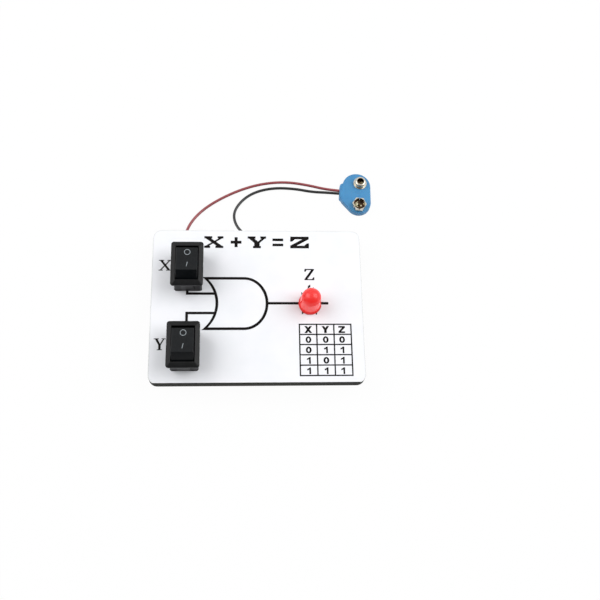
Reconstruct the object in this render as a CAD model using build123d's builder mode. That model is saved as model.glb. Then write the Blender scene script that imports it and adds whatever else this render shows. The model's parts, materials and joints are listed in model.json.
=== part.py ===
from build123d import *
from math import cos, pi, radians, sin, sqrt, tan
import os

# Logic gate demonstration model: a printed board on rubber feet, two rocker switches X and Y,
# one 10 mm lamp, the wiring under the board, and a battery clip on two flying leads.
# Millimetres. X runs to the right along the board, Y to its rear edge, Z up.
# The origin is on the table, under the middle of the board.

os.makedirs("parts", exist_ok=True)

# Board, printed face and feet
board_width = 100.0
board_depth = 76.0
board_thickness = 5.0
board_corner_radius = 4.0
label_thickness = 0.2
label_margin = 0.05
label_front_margin = 0.45
ink_thickness = 0.06
foot_height = 9.0
foot_radius = 4.0
foot_taper = 6.0  # degrees, narrower at the table
foot_inset_x = 5.5
foot_inset_y = 8.0

# Places on the board, from its edges
left_edge = -board_width / 2
right_edge = board_width / 2
front_edge = -board_depth / 2
rear_edge = board_depth / 2
x_switch_from_left = 17.3
x_switch_from_rear = 21.6
y_switch_from_left = 16.4
y_switch_from_front = 15.6
lamp_from_right = 25.15
lamp_below_line = 0.3
gate_y = 0.65
x_switch_centre = (left_edge + x_switch_from_left, rear_edge - x_switch_from_rear)
y_switch_centre = (left_edge + y_switch_from_left, front_edge + y_switch_from_front)
lamp_centre = (right_edge - lamp_from_right, gate_y - lamp_below_line)

# Rocker switch: bezel and body, one moulding
bezel_width = 15.0
bezel_length = 21.7
bezel_corner_radius = 1.3
bezel_flange = 0.8
bezel_rise = 1.2
window_width = 10.6
window_length = 16.8
window_lip = 0.25
body_width = 12.8
body_length = 18.8
body_depth = 13.4
body_corner_radius = 1.1
body_floor = 2.0
bezel_stand = 10.3  # from the printed face up to the bezel's underside
cutout_side_gap = 0.2
cutout_end_gap = 0.04

# Snap wings on the two short ends of the body
wing_width = 5.6
wing_foot_rise = 1.0  # above the body's underside
wing_top_depth = 1.3
wing_reach = 1.0
wing_thickness = 0.55

# Rocker, with its far end pressed at rest
rocker_width = 10.0
rocker_top_length = 12.0
rocker_base_length = 16.3
rocker_top_height = 5.0
rocker_dish = 0.95
rocker_shoulder = 0.6
rocker_skirt_length = 13.0
rocker_skirt_depth = 2.2
rocker_wall = 1.0
rocker_round = 0.35
rocker_tilt = 11.0  # degrees each way from level
pivot_drop = 0.3  # below the bezel's underside
pivot_radius = 1.1
pivot_length = 1.2
pivot_gap = 0.05
post_radius = 2.3
post_length = 4.6

# Plunger and spring inside the rocker's post
plunger_radius = 1.3
plunger_gap = 0.1
plunger_tip_gap = 0.1  # above the lever
plunger_shoulder = 2.0  # below the pivot
spigot_radius = 0.65
spigot_length = 1.2
spring_wire = 0.3
spring_diameter = 2.3
spring_turns = 5
spring_gap = 0.05
spring_bore_height = 2.4  # above the pivot

# Contact lever, terminals and contacts
lever_width = 3.6
lever_thickness = 0.5
lever_half_length = 6.8
lever_tilt = 5.5  # degrees each way from level
knife_height = 2.4
knife_flat = 0.04
lever_stop_gap = 0.05
stop_length = 1.4
contact_radius = 1.2
contact_thickness = 0.5
contact_offset = 5.8
contact_pad_thickness = 0.6
contact_pad_inner = 4.4
blade_width = 4.8
blade_thickness = 0.8
blade_length = 7.0
blade_corner = 0.9
blade_inner_width = 3.4
blade_gap = 0.05
blade_eye_radius = 0.9
blade_eye_height = 1.9
outer_blade_offset = 6.8

# Lamp
lens_radius = 5.0  # at its rim
dome_radius = 4.6
lens_height = 13.6
flange_radius = 5.5
flange_thickness = 1.0
flange_flat = 5.2
leg_size = 0.6
leg_pitch = 2.54
leg_length = 9.3
leg_hole_radius = 0.6
post_height = 5.6
anvil_length = 1.9
anvil_width = 1.6
anvil_height = 1.2
anode_head = 1.0
cup_radius = 0.6
cup_depth = 0.4
chip_size = 0.4
chip_height = 0.2

# Wiring under the board
wire_level = 6.4
jumper_diameter = 1.2
lead_diameter = 1.4
blade_joint_radius = 1.7
leg_joint_radius = 1.15
wire_start = 1.0  # from a blade's middle to the end of a wire
wire_side = 1.0
wire_shoulder = 3.6
wire_drop = 4.5
bow_reach = 13.0
bow_lag = 1.0
feed_bow = 4.7
output_bow = 5.2
link_shoulder = 4.2
link_low_x = 12.0
link_low_y = 5.4
link_rise_x = 17.6
link_rise_y = 20.4
link_turn_x = 9.0
link_turn_y = 8.4
link_end_x = 5.2
link_end_y = 2.0
resistor_centre_x = 10.0
resistor_length = 6.4
resistor_radius = 1.25
resistor_waist = 1.05
resistor_cap_length = 1.5
resistor_lead_radius = 0.3
resistor_tail = 5.0
lead_leg_gap = 0.02
lead_start = 1.1  # red lead's end, behind the X switch's far blade
lead_side = 0.7  # black lead's end, beside the lamp's middle

# Battery clip
clip_centre = (52.8, 63.4)
clip_turn = -5.0
clip_far_radius = 7.2
clip_far_place = (-1.7, 4.6)  # from the clip's middle
clip_near_radius = 6.2
clip_near_place = (-0.1, -4.3)
clip_side_radius = 6.0
clip_side_place = (-3.9, -0.8)
clip_height = 3.2
clip_round = 0.45
nub_width = 9.4
nub_corner_radius = 1.6
nub_reach = 1.4
nub_root = 3.0
nub_height = 2.7
nub_round = 0.5
nub_shift = 1.25
lead_entry_height = 1.4
lead_entry_pitch = 1.6
lead_entry_depth = 1.6
lead_entry_reach = 1.55
red_approach = 6.5  # straight run before the nub
black_approach = 5.3
lead_entry_gap = 0.05
snap_pitch = 12.7
snap_height = 2.7
snap_floor = 0.4
stud_flange_radius = 3.4
stud_neck_radius = 2.6
stud_radius = 2.85
stud_wall = 0.35
stud_mouth_radius = 1.8
stud_swell = 1.1
stud_rim = 1.75
socket_corner_radius = 3.7
socket_bore_radius = 2.95
socket_floor = 0.8
socket_slit = 0.3
socket_slit_floor = 1.0
plate_inset = 1.5
plate_thickness = 0.9
plate_gap = 0.05
cavity_floor = 1.0
rivet_radius = 1.2
rivet_gap = 0.05
rivet_head_radius = 2.2
rivet_head = 0.4
rivet_roll_radius = 1.6
rivet_roll = 0.35
rivet_bore_radius = 0.7

# Printed lines
gate_line = 1.3
input_line = 1.22
symbol_line = 0.6
grid_line = 0.6
gate_from_left = 25.3
gate_straight = 18.35  # the flat sides, up to where the round end starts
gate_round = 10.85
gate_half_height = 12.53
gate_hollow = 5.6  # how far the gate's left side curves in
input_from_left = 16.9
input_drop = 1.29  # in front of the X switch's opening
output_past_lamp = 8.75
symbol_left = -3.95  # from the lamp's middle
symbol_right = 2.95
symbol_half_height = 5.6
arrow_start = (-1.75, 5.7)
arrow_end = (0.4, 9.5)
arrow_head = 1.5
arrow_shift = (1.55, -1.4)
table_from_right = 6.1
table_from_front = 3.55
table_column = 8.1
table_row = 4.93
table_columns = 3
table_rows = 5

# Levels that follow from the sizes
board_top = foot_height + board_thickness
face_top = board_top + label_thickness
lamp_seat = face_top + ink_thickness
seat_height = face_top + bezel_stand
bezel_top = bezel_flange + bezel_rise
floor_top = body_floor - body_depth
knife_edge = floor_top + knife_height
wing_foot_depth = body_depth - wing_foot_rise
wing_at_face = wing_reach * max(wing_foot_depth - bezel_stand, 0) / (wing_foot_depth - wing_top_depth)
cutout_width = body_width + 2 * cutout_side_gap
cutout_length = body_length + 2 * (wing_at_face + cutout_end_gap)
plunger_reach = -knife_edge - pivot_drop - lever_thickness - plunger_tip_gap
blade_tip = seat_height - body_depth - blade_length
eye_level = blade_tip + blade_eye_height
anode_x = lamp_centre[0] - leg_pitch / 2
cathode_x = lamp_centre[0] + leg_pitch / 2
resistor_left = resistor_centre_x - resistor_length / 2 - resistor_tail


def finish(piece, name):
    """Labels a piece and writes it to its own file."""
    piece.part.label = name
    export_step(piece.part, f"parts/{name}.step")


def side_plane(centre, height, tilt=0.0):
    """A plane that faces +X, whose own axes run to the rear and up, tipped by tilt degrees."""
    turn = radians(tilt)
    return Plane(
        origin=(centre[0], centre[1], height), x_dir=(0, cos(turn), sin(turn)), z_dir=(1, 0, 0)
    )


def front_plane(x, y, height):
    """A plane that faces the front edge, whose own axes run right and up."""
    return Plane(origin=(x, y, height), x_dir=(1, 0, 0), z_dir=(0, -1, 0))


def board_outline(inset):
    """The board's rounded outline, drawn in by inset."""
    RectangleRounded(
        board_width - 2 * inset, board_depth - 2 * inset, board_corner_radius - inset
    )


def face_holes():
    """The two switch openings and the two leg holes, cut out of a sketch."""
    with Locations(x_switch_centre, y_switch_centre):
        RectangleRounded(cutout_width, cutout_length, body_corner_radius, mode=Mode.SUBTRACT)
    with Locations((anode_x, lamp_centre[1]), (cathode_x, lamp_centre[1])):
        Circle(leg_hole_radius, mode=Mode.SUBTRACT)


# Board
with BuildPart() as base_board:
    with BuildSketch(Plane.XY.offset(foot_height)):
        board_outline(0)
        face_holes()
    extrude(amount=board_thickness)
finish(base_board, "base_board")

# Printed face sheet
with BuildPart() as face_label:
    with BuildSketch(Plane.XY.offset(board_top)):
        board_outline(label_margin)
        # the sheet is cut short along the front edge
        with Locations((0, front_edge)):
            Rectangle(board_width, 2 * label_front_margin, mode=Mode.SUBTRACT)
        face_holes()
    extrude(amount=label_thickness)
finish(face_label, "face_label")

# Four feet, wider where they are stuck to the board
foot_x = board_width / 2 - foot_inset_x
foot_y = board_depth / 2 - foot_inset_y
with BuildPart() as rubber_feet:
    with BuildSketch(Plane.XY.offset(foot_height)):
        with GridLocations(2 * foot_x, 2 * foot_y, 2, 2):
            Circle(foot_radius)
    extrude(amount=-foot_height, taper=foot_taper)
finish(rubber_feet, "rubber_feet")

# Printed gate symbol, its wires and the lamp's symbol, as one layer of ink
gate_left = left_edge + gate_from_left
gate_middle_x = gate_left + gate_straight
gate_right = gate_middle_x + gate_round
gate_top = gate_y + gate_half_height
gate_bottom = gate_y - gate_half_height
output_end = lamp_centre[0] + output_past_lamp
input_x = left_edge + input_from_left
input_half_gap = x_switch_centre[1] - cutout_length / 2 - input_drop - gate_y
hollow_radius = (gate_half_height**2 + gate_hollow**2) / (2 * gate_hollow)
hollow_at_input = gate_hollow - hollow_radius + sqrt(hollow_radius**2 - input_half_gap**2)
symbol_at = Vector(lamp_centre[0], gate_y)
with BuildPart() as printed_diagram:
    with BuildSketch(Plane.XY.offset(face_top)) as diagram:
        # outside of the gate: two flat sides, a half ellipse and a hollow left side
        for grow, how in ((gate_line / 2, Mode.ADD), (-gate_line / 2, Mode.SUBTRACT)):
            inward = gate_hollow + gate_left - grow
            tip = gate_left - grow * gate_half_height / gate_hollow
            with BuildLine():
                EllipticalCenterArc(
                    (gate_middle_x, gate_y),
                    gate_right - gate_middle_x + grow,
                    gate_half_height + grow,
                    start_angle=-90,
                    arc_size=180,
                )
                Line((gate_middle_x, gate_top + grow), (tip, gate_top + grow))
                ThreePointArc(
                    (tip, gate_top + grow), (inward, gate_y), (tip, gate_bottom - grow)
                )
                Line((tip, gate_bottom - grow), (gate_middle_x, gate_bottom - grow))
            make_face(mode=how)
        # wires from the two switches
        for side, centre in ((1, x_switch_centre), (-1, y_switch_centre)):
            level = gate_y + side * input_half_gap
            switch_edge = centre[1] - side * cutout_length / 2
            reach = gate_left + hollow_at_input - input_x
            with Locations((input_x + reach / 2, level)):
                Rectangle(reach, input_line)
            corner = level - side * input_line / 2
            with Locations((input_x, (corner + switch_edge) / 2)):
                Rectangle(input_line, abs(switch_edge - corner))
        # output wire, passing under the lamp
        with Locations(((gate_right + output_end) / 2, gate_y)):
            Rectangle(output_end - gate_right, input_line)
        # lamp symbol: triangle, bar and two arrows
        triangle_corners = [
            symbol_at + Vector(symbol_left, symbol_half_height),
            symbol_at + Vector(symbol_right, 0),
            symbol_at + Vector(symbol_left, -symbol_half_height),
        ]
        Polygon(*triangle_corners, align=None)
        with BuildSketch(mode=Mode.PRIVATE) as triangle_inside:
            Polygon(*triangle_corners, align=None)
            offset(amount=-symbol_line, kind=Kind.INTERSECTION)
        add(triangle_inside.sketch, mode=Mode.SUBTRACT)
        with Locations(symbol_at + Vector(symbol_right, 0)):
            Rectangle(symbol_line, 2 * symbol_half_height)
        with Locations(symbol_at + Vector((symbol_left + symbol_right) / 2, 0)):
            Rectangle(symbol_right - symbol_left, input_line)
        for shift in (Vector(0, 0), Vector(*arrow_shift)):
            start = symbol_at + Vector(*arrow_start) + shift
            end = symbol_at + Vector(*arrow_end) + shift
            along = (end - start).normalized()
            across = Vector(-along.Y, along.X)
            half = symbol_line / 2
            neck = end - along * arrow_head
            Polygon(
                start + across * half,
                neck + across * half,
                neck + across * arrow_head / 2,
                end,
                neck - across * arrow_head / 2,
                neck - across * half,
                start - across * half,
                align=None,
            )
        # nothing is printed over the leg holes
        with Locations((anode_x, lamp_centre[1]), (cathode_x, lamp_centre[1])):
            Circle(leg_hole_radius, mode=Mode.SUBTRACT)
    extrude(amount=ink_thickness)
finish(printed_diagram, "printed_diagram")

# Printed grid of the truth table
table_width = table_columns * table_column
table_height = table_rows * table_row
table_right = right_edge - table_from_right
table_front = front_edge + table_from_front
with BuildPart() as printed_table_grid:
    with BuildSketch(Plane.XY.offset(face_top)):
        with Locations((table_right - table_width / 2, table_front + table_height / 2)):
            Rectangle(table_width + grid_line, table_height + grid_line)
            with GridLocations(table_column, table_row, table_columns, table_rows):
                Rectangle(table_column - grid_line, table_row - grid_line, mode=Mode.SUBTRACT)
    extrude(amount=ink_thickness)
finish(printed_table_grid, "printed_table_grid")


def make_housing(centre, name):
    """Bezel, body, floor with its slots and stop, pivot holes and two snap wings."""
    seat = Plane(origin=(centre[0], centre[1], seat_height))
    side = side_plane(centre, seat_height)
    with BuildPart() as housing:
        with BuildSketch(seat):
            RectangleRounded(bezel_width, bezel_length, bezel_corner_radius)
        extrude(amount=bezel_flange)
        with BuildSketch(seat.offset(bezel_flange)):
            RectangleRounded(bezel_width, bezel_length, bezel_corner_radius)
        with BuildSketch(seat.offset(bezel_top)):
            RectangleRounded(
                window_width + 2 * window_lip, window_length + 2 * window_lip, 2 * window_lip
            )
        loft(ruled=True)
        with BuildSketch(seat):
            RectangleRounded(body_width, body_length, body_corner_radius)
        extrude(amount=-body_depth)
        with BuildSketch(seat.offset(bezel_top)):
            Rectangle(window_width, window_length)
        extrude(amount=floor_top - bezel_top, mode=Mode.SUBTRACT)
        # slots for the two blades
        with BuildSketch(seat.offset(floor_top)):
            with Locations((0, 0), (0, outer_blade_offset)):
                Rectangle(blade_width + 2 * blade_gap, blade_thickness + 2 * blade_gap)
        extrude(amount=-body_floor, mode=Mode.SUBTRACT)
        # stop under the near end of the lever
        stop_height = knife_height - lever_half_length * sin(radians(lever_tilt)) - lever_stop_gap
        with BuildSketch(seat.offset(floor_top)):
            with Locations((0, -lever_half_length)):
                Rectangle(window_width, stop_length)
        extrude(amount=stop_height)
        # pivot holes through both side walls
        with BuildSketch(side):
            with Locations((0, -pivot_drop)):
                Circle(pivot_radius + pivot_gap)
        extrude(amount=body_width, both=True, mode=Mode.SUBTRACT)
        # snap wings, leaning out as they rise
        end = body_length / 2
        lean = wing_reach / (wing_foot_depth - wing_top_depth)
        root = body_depth - wing_foot_depth
        for way in (1, -1):
            with BuildSketch(side):
                with BuildLine():
                    Polyline(
                        (way * (end - wing_thickness), -body_depth),
                        (way * end, -wing_foot_depth),
                        (way * (end + wing_reach), -wing_top_depth),
                        (way * (end + wing_reach - wing_thickness), -wing_top_depth),
                        (way * (end - wing_thickness), -wing_foot_depth),
                        close=True,
                    )
                make_face()
            extrude(amount=wing_width / 2, both=True)
    finish(housing, f"{name}_switch_housing")
    return housing


def make_rocker(centre, name):
    """Hollow rocker with a dished top, two pivot pins and a post for the plunger."""
    frame = side_plane(centre, seat_height - pivot_drop, -rocker_tilt)
    upright = Plane(origin=frame.origin, x_dir=(1, 0, 0), z_dir=frame.y_dir)
    top = rocker_top_length / 2
    base = rocker_base_length / 2
    skirt = rocker_skirt_length / 2
    with BuildPart() as rocker:
        with BuildSketch(frame):
            with BuildLine():
                Polyline(
                    (-top, rocker_top_height),
                    (0, rocker_top_height - rocker_dish),
                    (top, rocker_top_height),
                    (base, rocker_shoulder),
                    (base, -rocker_shoulder),
                    (skirt, -rocker_skirt_depth),
                    (-skirt, -rocker_skirt_depth),
                    (-base, -rocker_shoulder),
                    (-base, rocker_shoulder),
                    close=True,
                )
            make_face()
        extrude(amount=rocker_width / 2, both=True)
        flanks = rocker.faces().sort_by(Axis.X)
        fillet(flanks[0].edges() + flanks[-1].edges(), rocker_round)
        # hollow underside
        inner_top = rocker_top_height - rocker_dish - rocker_wall
        with BuildSketch(frame):
            with BuildLine():
                Polyline(
                    (-top + rocker_wall, inner_top),
                    (top - rocker_wall, inner_top),
                    (base - 2 * rocker_wall, rocker_shoulder),
                    (skirt - rocker_wall, -rocker_skirt_depth),
                    (-skirt + rocker_wall, -rocker_skirt_depth),
                    (-base + 2 * rocker_wall, rocker_shoulder),
                    close=True,
                )
            make_face()
        extrude(amount=rocker_width / 2 - rocker_wall, both=True, mode=Mode.SUBTRACT)
        # post, its bore and the pivot pins
        with BuildSketch(upright.offset(inner_top)):
            Circle(post_radius)
        extrude(amount=-(inner_top + post_length))
        with BuildSketch(upright.offset(spring_bore_height)):
            Circle(plunger_radius + plunger_gap)
        extrude(amount=-(spring_bore_height + post_length), mode=Mode.SUBTRACT)
        for way in (1, -1):
            pin_plane = frame.offset(way * (rocker_width / 2 - rocker_wall / 2))
            with BuildSketch(pin_plane):
                Circle(pivot_radius)
            extrude(amount=way * (rocker_wall / 2 + pivot_length))
    finish(rocker, f"{name}_switch_rocker")

    # plunger: a round-nosed pin with a spigot for the spring
    shoulder = -plunger_shoulder
    with BuildPart() as plunger:
        with BuildSketch(frame):
            with BuildLine():
                Polyline(
                    (0, shoulder + spigot_length),
                    (spigot_radius, shoulder + spigot_length),
                    (spigot_radius, shoulder),
                    (plunger_radius, shoulder),
                    (plunger_radius, plunger_radius - plunger_reach),
                )
                RadiusArc(
                    (plunger_radius, plunger_radius - plunger_reach), (0, -plunger_reach), plunger_radius
                )
                Line((0, -plunger_reach), (0, shoulder + spigot_length))
            make_face()
        revolve(axis=Axis(frame.origin, frame.y_dir))
    finish(plunger, f"{name}_switch_plunger")

    # compression spring between the plunger's shoulder and the top of the bore
    coil_height = spring_bore_height - shoulder - spring_wire - 2 * spring_gap
    coil_foot = upright.offset(shoulder + spring_wire / 2 + spring_gap)
    with BuildPart() as spring:
        with BuildLine() as coil:
            Helix(
                pitch=coil_height / spring_turns,
                height=coil_height,
                radius=(spring_diameter - spring_wire) / 2,
                center=coil_foot.origin,
                direction=upright.z_dir,
            )
        with BuildSketch(Plane(origin=coil.line @ 0, z_dir=coil.line % 0)):
            Circle(spring_wire / 2)
        sweep(path=coil.line)
    finish(spring, f"{name}_switch_spring")


def make_lever(centre, name):
    """Contact lever, near end down at rest, with its contact under the far end."""
    frame = side_plane(centre, seat_height + knife_edge, lever_tilt)
    upright = Plane(origin=frame.origin, x_dir=(1, 0, 0), z_dir=frame.y_dir)
    with BuildPart() as lever:
        with BuildSketch(upright):
            SlotOverall(2 * lever_half_length, lever_width, rotation=90)
        extrude(amount=lever_thickness)
    finish(lever, f"{name}_switch_lever")
    with BuildPart() as moving_contact:
        with BuildSketch(upright):
            with Locations((0, contact_offset)):
                Circle(contact_radius)
        extrude(amount=-contact_thickness)
    finish(moving_contact, f"{name}_switch_moving_contact")


def blade_sketch(bottom, top):
    """A blade's outline from its chamfered tip up to top, with its eye."""
    half = blade_width / 2
    Polygon(
        (-half + blade_corner, bottom),
        (half - blade_corner, bottom),
        (half, bottom + blade_corner),
        (half, top),
        (-half, top),
        (-half, bottom + blade_corner),
        align=None,
    )
    with Locations((0, bottom + blade_eye_height)):
        Circle(blade_eye_radius, mode=Mode.SUBTRACT)


def make_terminals(centre, name):
    """Middle blade with its knife edge, and outer blade with its pad and fixed contact."""
    tip = -body_depth - blade_length
    middle = front_plane(centre[0], centre[1], seat_height)
    outer = front_plane(centre[0], centre[1] + outer_blade_offset, seat_height)
    seat = Plane(origin=(centre[0], centre[1], seat_height))
    with BuildPart() as common:
        with BuildSketch(middle):
            blade_sketch(tip, floor_top)
        extrude(amount=blade_thickness / 2, both=True)
        with BuildSketch(middle):
            with Locations((0, floor_top)):
                Rectangle(blade_inner_width, knife_height, align=(Align.CENTER, Align.MIN))
        extrude(amount=blade_thickness / 2, both=True)
        knife = common.edges().filter_by(Axis.X).group_by(Axis.Z)[-1]
        chamfer(knife, (blade_thickness - knife_flat) / 2)
    finish(common, f"{name}_switch_common_terminal")

    pad_outer = outer_blade_offset + blade_thickness / 2
    pad_length = pad_outer - contact_pad_inner
    with BuildPart() as contact:
        with BuildSketch(outer):
            blade_sketch(tip, floor_top)
        extrude(amount=blade_thickness / 2, both=True)
        with BuildSketch(seat.offset(floor_top)):
            with Locations((0, pad_outer - pad_length / 2)):
                Rectangle(blade_inner_width, pad_length)
        extrude(amount=contact_pad_thickness)
    finish(contact, f"{name}_switch_contact_terminal")

    with BuildPart() as fixed_contact:
        with BuildSketch(seat.offset(floor_top + contact_pad_thickness)):
            with Locations((0, contact_offset)):
                Circle(contact_radius)
        extrude(amount=contact_thickness)
    finish(fixed_contact, f"{name}_switch_fixed_contact")
    return common, contact


blades = []
for switch_name, switch_centre in (("x", x_switch_centre), ("y", y_switch_centre)):
    make_housing(switch_centre, switch_name)
    make_rocker(switch_centre, switch_name)
    make_lever(switch_centre, switch_name)
    blades.extend(make_terminals(switch_centre, switch_name))


# Lamp: two legs, the chip in its cup and the moulded lens round them
lamp_y = lamp_centre[1]
leg_foot = lamp_seat - leg_length
with BuildPart() as led_anode:
    with BuildSketch(Plane.XY.offset(leg_foot)):
        with Locations((anode_x, lamp_y)):
            Rectangle(leg_size, leg_size)
    extrude(amount=leg_length + post_height)
    with BuildSketch(Plane.XY.offset(lamp_seat + post_height)):
        with Locations((anode_x - anode_head / 2 + leg_size / 2, lamp_y)):
            Rectangle(anode_head, leg_size)
    extrude(amount=-anvil_height)
finish(led_anode, "led_anode")

anvil_x = cathode_x + leg_size / 2 - anvil_length / 2
with BuildPart() as led_cathode:
    with BuildSketch(Plane.XY.offset(leg_foot)):
        with Locations((cathode_x, lamp_y)):
            Rectangle(leg_size, leg_size)
    extrude(amount=leg_length + post_height)
    with BuildSketch(Plane.XY.offset(lamp_seat + post_height)):
        with Locations((anvil_x, lamp_y)):
            Rectangle(anvil_length, anvil_width)
    extrude(amount=-anvil_height)
    with BuildSketch(Plane.XY.offset(lamp_seat + post_height)):
        with Locations((anvil_x, lamp_y)):
            Circle(cup_radius)
    extrude(amount=-cup_depth, mode=Mode.SUBTRACT)
finish(led_cathode, "led_cathode")

with BuildPart() as led_chip:
    with BuildSketch(Plane.XY.offset(lamp_seat + post_height - cup_depth)):
        with Locations((anvil_x, lamp_y)):
            Rectangle(chip_size, chip_size)
    extrude(amount=chip_height)
finish(led_chip, "led_chip")

lamp_side = front_plane(lamp_centre[0], lamp_y, lamp_seat)
with BuildPart() as led_lens:
    with BuildSketch(lamp_side):
        with BuildLine():
            Polyline(
                (0, lens_height),
                (0, 0),
                (flange_radius, 0),
                (flange_radius, flange_thickness),
                (lens_radius, flange_thickness),
                (dome_radius, lens_height - dome_radius),
            )
            RadiusArc((dome_radius, lens_height - dome_radius), (0, lens_height), -dome_radius)
        make_face()
    revolve(axis=Axis(lamp_side.origin, (0, 0, 1)))
    # flat on the rim beside the cathode
    with BuildSketch(Plane.XY.offset(lamp_seat)):
        with Locations((lamp_centre[0] + flange_flat, lamp_y)):
            Rectangle(flange_radius, 2 * flange_radius, align=(Align.MIN, Align.CENTER))
    extrude(amount=flange_thickness, mode=Mode.SUBTRACT)
    for inner in (led_anode, led_cathode, led_chip):
        add(inner.part, mode=Mode.SUBTRACT)
finish(led_lens, "led_lens")


def bend_radii(points):
    """Each bend's radius: 0.45 of the shorter run, over the tangent of half the turn."""
    found = []
    for before, here, after in zip(points, points[1:], points[2:]):
        run_in = Vector(*here) - Vector(*before)
        run_out = Vector(*after) - Vector(*here)
        turn = radians(run_in.get_angle(run_out))
        found.append(0.45 * min(run_in.length, run_out.length) / tan(turn / 2))
    return found


def make_wire(points, diameter, name):
    """A round wire along straight runs joined by tangent arcs."""
    radii = bend_radii(points)
    with BuildPart() as wire:
        with BuildLine() as route:
            FilletPolyline(*points, radius=radii)
        with BuildSketch(Plane(origin=route.line @ 0, z_dir=route.line % 0)):
            Circle(diameter / 2)
        sweep(path=route.line)
    finish(wire, name)
    length = sum(edge.length for edge in route.edges())
    full = pi * diameter**2 / 4 * length
    print(f"{name}: length {length:.1f}, volume over section times length {wire.part.volume / full:.4f}")
    print("  bend radii", [round(r, 1) for r in radii])
    return wire


# Wires that stay under the board, soldered at both ends
x_blade = x_switch_centre
y_blade = y_switch_centre
x_far = x_blade[1] + outer_blade_offset
y_far = y_blade[1] + outer_blade_offset


def bowed_route(start, end, side, bow):
    """A wire from one blade's front face to the rear face of another, bowed out to one side."""
    (start_x, start_y), (end_x, end_y) = start, end
    return [
        (start_x + side * wire_side, start_y - wire_start, eye_level),
        (start_x + side * wire_shoulder, start_y - wire_drop, eye_level),
        (start_x + side * bow, start_y - bow_reach, eye_level),
        (end_x + side * bow, end_y + bow_reach + bow_lag, eye_level),
        (end_x + side * wire_shoulder, end_y + wire_drop, eye_level),
        (end_x + side * wire_side, end_y + wire_start, eye_level),
    ]


feed_jumper = make_wire(
    bowed_route((x_blade[0], x_far), (y_blade[0], y_far), 1, feed_bow), jumper_diameter, "feed_jumper"
)
output_jumper = make_wire(
    bowed_route(x_blade, y_blade, -1, output_bow), jumper_diameter, "output_jumper"
)
link_points = [
    (y_blade[0] + wire_side, y_blade[1] - wire_start, eye_level),
    (y_blade[0] + link_shoulder, y_blade[1] - wire_drop, eye_level),
    (y_blade[0] + link_low_x, y_blade[1] - link_low_y, eye_level),
    (resistor_left - link_rise_x, lamp_y - link_rise_y, wire_level),
    (resistor_left - link_turn_x, lamp_y - link_turn_y, wire_level),
    (resistor_left - link_end_x, lamp_y - link_end_y, wire_level),
    (resistor_left, lamp_y, wire_level),
]
resistor_link = make_wire(link_points, jumper_diameter, "resistor_link")

# Resistor, lying along X, and its two bare wires
resistor_axis = front_plane(resistor_centre_x, lamp_y, wire_level)
half_resistor = resistor_length / 2
with BuildPart() as resistor_body:
    with BuildSketch(resistor_axis):
        with BuildLine():
            Polyline(
                (-half_resistor, 0),
                (-half_resistor, resistor_radius),
                (-half_resistor + resistor_cap_length, resistor_radius),
                (-half_resistor + resistor_cap_length, resistor_waist),
                (half_resistor - resistor_cap_length, resistor_waist),
                (half_resistor - resistor_cap_length, resistor_radius),
                (half_resistor, resistor_radius),
                (half_resistor, 0),
                close=True,
            )
        make_face()
    revolve(axis=Axis(resistor_axis.origin, (1, 0, 0)))
    caps = resistor_body.edges().filter_by(GeomType.CIRCLE).group_by(SortBy.RADIUS)[-1]
    fillet(caps, (resistor_radius - resistor_waist) * 0.9)
finish(resistor_body, "resistor_body")

with BuildPart() as resistor_leads:
    left_end = Plane(origin=(resistor_left, lamp_y, wire_level), z_dir=(1, 0, 0))
    with BuildSketch(left_end):
        Circle(resistor_lead_radius)
    extrude(amount=resistor_tail)
    right_start = resistor_centre_x + half_resistor
    right_end = Plane(origin=(right_start, lamp_y, wire_level), z_dir=(1, 0, 0))
    with BuildSketch(right_end):
        Circle(resistor_lead_radius)
    extrude(amount=anode_x - leg_size / 2 - lead_leg_gap - right_start)
finish(resistor_leads, "resistor_leads")

# Flying leads of the battery clip, from under the board to the clip on the table
clip = Plane(
    origin=(clip_centre[0], clip_centre[1], 0),
    x_dir=(cos(radians(clip_turn)), sin(radians(clip_turn)), 0),
    z_dir=(0, 0, 1),
)
nub_end = clip_far_place[0] - clip_far_radius - nub_reach


def nub_points(way, approach):
    """A lead's last two points, in line with its own hole in the nub."""
    across = nub_shift + way * lead_entry_pitch / 2
    return [
        tuple(clip.from_local_coords((nub_end - approach, across, lead_entry_height))),
        tuple(clip.from_local_coords((nub_end + lead_entry_reach, across, lead_entry_height))),
    ]


red_points = [
    (x_blade[0], x_far + lead_start, eye_level),
    (-34.2, 31.0, 5.6),
    (-35.9, 39.2, 3.8),
    (-33.4, 47.6, 1.6),
    (-27.6, 55.1, 0.7),
    (-19.0, 61.3, 0.7),
    (-8.0, 66.9, 0.7),
    (3.2, 70.4, 0.7),
    (15.2, 71.5, 0.7),
    (26.6, 69.7, 0.8),
    *nub_points(1, red_approach),
]
black_points = [
    (lamp_centre[0] + lead_side, lamp_y + lead_side, wire_level),
    (21.2, 6.9, 6.4),
    (13.6, 17.0, 6.2),
    (4.2, 27.8, 5.4),
    (-2.4, 37.0, 4.0),
    (-10.0, 44.4, 1.8),
    (-12.2, 53.0, 0.7),
    (-7.7, 60.8, 0.7),
    (-0.6, 65.7, 0.7),
    (9.0, 68.0, 0.7),
    (19.6, 67.6, 0.7),
    (28.6, 65.8, 0.8),
    *nub_points(-1, black_approach),
]
red_lead = make_wire(red_points, lead_diameter, "red_battery_lead")
black_lead = make_wire(black_points, lead_diameter, "black_battery_lead")

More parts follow.
